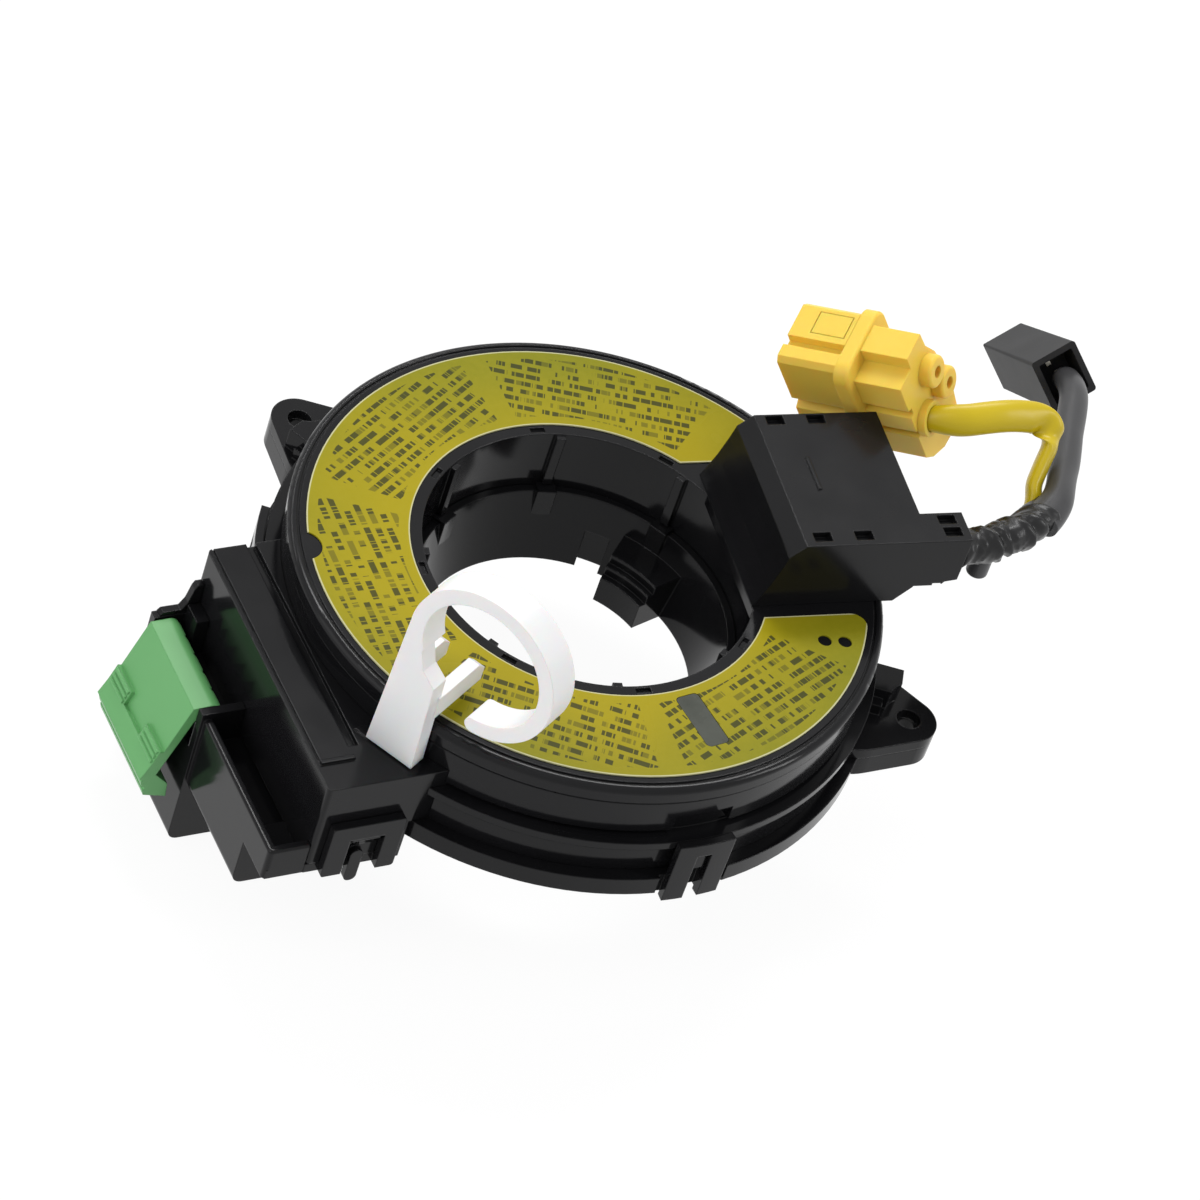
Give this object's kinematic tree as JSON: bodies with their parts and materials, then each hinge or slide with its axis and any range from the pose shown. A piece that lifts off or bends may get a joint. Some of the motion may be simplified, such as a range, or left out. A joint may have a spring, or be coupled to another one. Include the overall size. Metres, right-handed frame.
{
  "type": "steering clock spring",
  "caption": "Rotary connector for a steering column: flat ring stator with connector block, turning disc with exit box and leads, lock lever and pull-out lock key",
  "frame": {"origin": "on the column axis, in the plane of the bottom cover's back face", "axes": "+Z along the column axis towards the driver; the connector block is on -X, the exit box and leads on +X"},
  "size_m": [0.1898, 0.1133, 0.0868],
  "materials": {
    "black_gloss": "glossy moulded black plastic",
    "black_matte": "satin black plastic",
    "green_plastic": "moulded green plastic",
    "grey_plastic": "moulded grey plastic",
    "cable_film": "laminated flat cable",
    "slip_film": "thin slip sheet",
    "label_film": "olive yellow printed film",
    "window_clear": "clear plastic window",
    "white_plastic": "translucent white plastic",
    "tape": "black vinyl tape",
    "dark_sleeve": "dark grey vinyl sleeve",
    "yellow_sleeve": "yellow vinyl sleeve",
    "yellow_plastic": "yellow moulded plastic",
    "contact_metal": "tinned contact"
  },
  "bodies": {
    "stator": {"stator_housing": "black_gloss", "connector_block": "black_gloss", "left_ear": "black_gloss", "right_ear": "black_gloss", "bottom_cover": "black_gloss", "connector_base": "black_gloss", "wall_block": "grey_plastic", "ribbon_cable": "cable_film", "lower_slip_sheet": "slip_film", "socket_a_pin_1": "contact_metal", "socket_a_pin_2": "contact_metal", "socket_a_pin_3": "contact_metal", "socket_a_pin_4": "contact_metal", "socket_a_pin_5": "contact_metal", "socket_a_pin_6": "contact_metal", "socket_a_pin_7": "contact_metal", "socket_a_pin_8": "contact_metal", "socket_b_pin_1": "contact_metal", "socket_b_pin_2": "contact_metal", "socket_b_pin_3": "contact_metal", "socket_b_pin_4": "contact_metal", "socket_b_pin_5": "contact_metal", "socket_b_pin_6": "contact_metal", "socket_b_pin_7": "contact_metal", "socket_b_pin_8": "contact_metal"},
    "lever": {"lock_lever": "green_plastic"},
    "rotor": {"rotor": "black_gloss", "upper_slip_sheet": "slip_film", "cancel_cam": "black_gloss", "lead_block": "grey_plastic", "exit_cover": "black_gloss", "label": "label_film", "sight_window": "window_clear", "tape_wrap": "tape", "stub_lead": "dark_sleeve", "dark_lead": "dark_sleeve", "yellow_lead": "yellow_sleeve", "yellow_plug": "yellow_plastic", "yellow_plug_lock": "yellow_plastic", "horn_plug": "black_matte", "horn_plug_pin_1": "contact_metal", "horn_plug_pin_2": "contact_metal", "yellow_plug_pin_1": "contact_metal", "yellow_plug_pin_2": "contact_metal"},
    "lock_key": {"lock_key": "white_plastic"}
  },
  "joints": [
    {"name": "rotor_spin", "type": "hinge", "parent": "stator", "child": "rotor", "pos_m": [0, 0, 0], "axis": [0, 0, 1], "range_deg": [-900, 900]},
    {"name": "lever_swing", "type": "hinge", "parent": "stator", "child": "lever", "pos_m": [-0.0652, 0, 0.0006], "axis": [0, 1, 0], "range_deg": [0, 75]},
    {"name": "key_pull", "type": "slide", "parent": "rotor", "child": "lock_key", "axis": [0, 0, 1], "range_m": [0, 0.06]}
  ]
}
